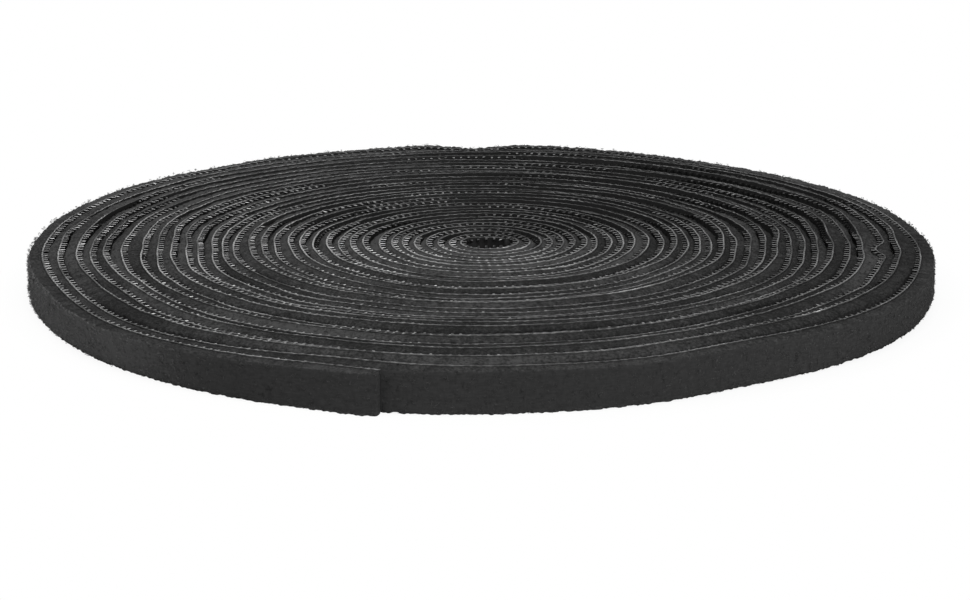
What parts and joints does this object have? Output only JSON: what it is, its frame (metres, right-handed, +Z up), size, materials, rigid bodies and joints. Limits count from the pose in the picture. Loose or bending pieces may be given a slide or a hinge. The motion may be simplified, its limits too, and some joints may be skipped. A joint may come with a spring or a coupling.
{
  "type": "hook and loop tape roll",
  "caption": "Flat coreless roll of narrow black hook and loop tape, wound pile side out, lying on its side with a free end that peels away.",
  "frame": {"origin": "on the plane that the roll lies on, under the middle of its bounding box, about 0.4 mm from the axis that the tape is wound round", "axes": "+Z up along the winding axis; seen from above the tape winds outwards anticlockwise; its free end is at the front, at 259 degrees from +X, so -Y faces the viewer"},
  "size_m": [0.1438, 0.1444, 0.0063],
  "materials": {
    "loop_pile": "napped knit pile, matte black",
    "hook_strip": "moulded nylon hooks on a thin film, satin black"
  },
  "bodies": {
    "roll": {"roll_loop_ply": "loop_pile", "roll_hook_ply": "hook_strip"},
    "tail_1": {"tail_1_loop_ply": "loop_pile", "tail_1_hook_ply": "hook_strip"},
    "tail_2": {"tail_2_loop_ply": "loop_pile", "tail_2_hook_ply": "hook_strip"},
    "tail_3": {"tail_3_loop_ply": "loop_pile", "tail_3_hook_ply": "hook_strip"},
    "tail_4": {"tail_4_loop_ply": "loop_pile", "tail_4_hook_ply": "hook_strip"}
  },
  "joints": [
    {"name": "peel_1", "type": "hinge", "parent": "roll", "child": "tail_1", "pos_m": [-0.06884, -0.0163, 0.00317], "axis": [0, 0, -1], "range_deg": [0, 35]},
    {"name": "peel_2", "type": "hinge", "parent": "tail_1", "child": "tail_2", "pos_m": [-0.06116, -0.03495, 0.00317], "axis": [0, 0, -1], "range_deg": [0, 35]},
    {"name": "peel_3", "type": "hinge", "parent": "tail_2", "child": "tail_3", "pos_m": [-0.04886, -0.05094, 0.00317], "axis": [0, 0, -1], "range_deg": [0, 35]},
    {"name": "peel_4", "type": "hinge", "parent": "tail_3", "child": "tail_4", "pos_m": [-0.03276, -0.06332, 0.00317], "axis": [0, 0, -1], "range_deg": [0, 35]}
  ]
}
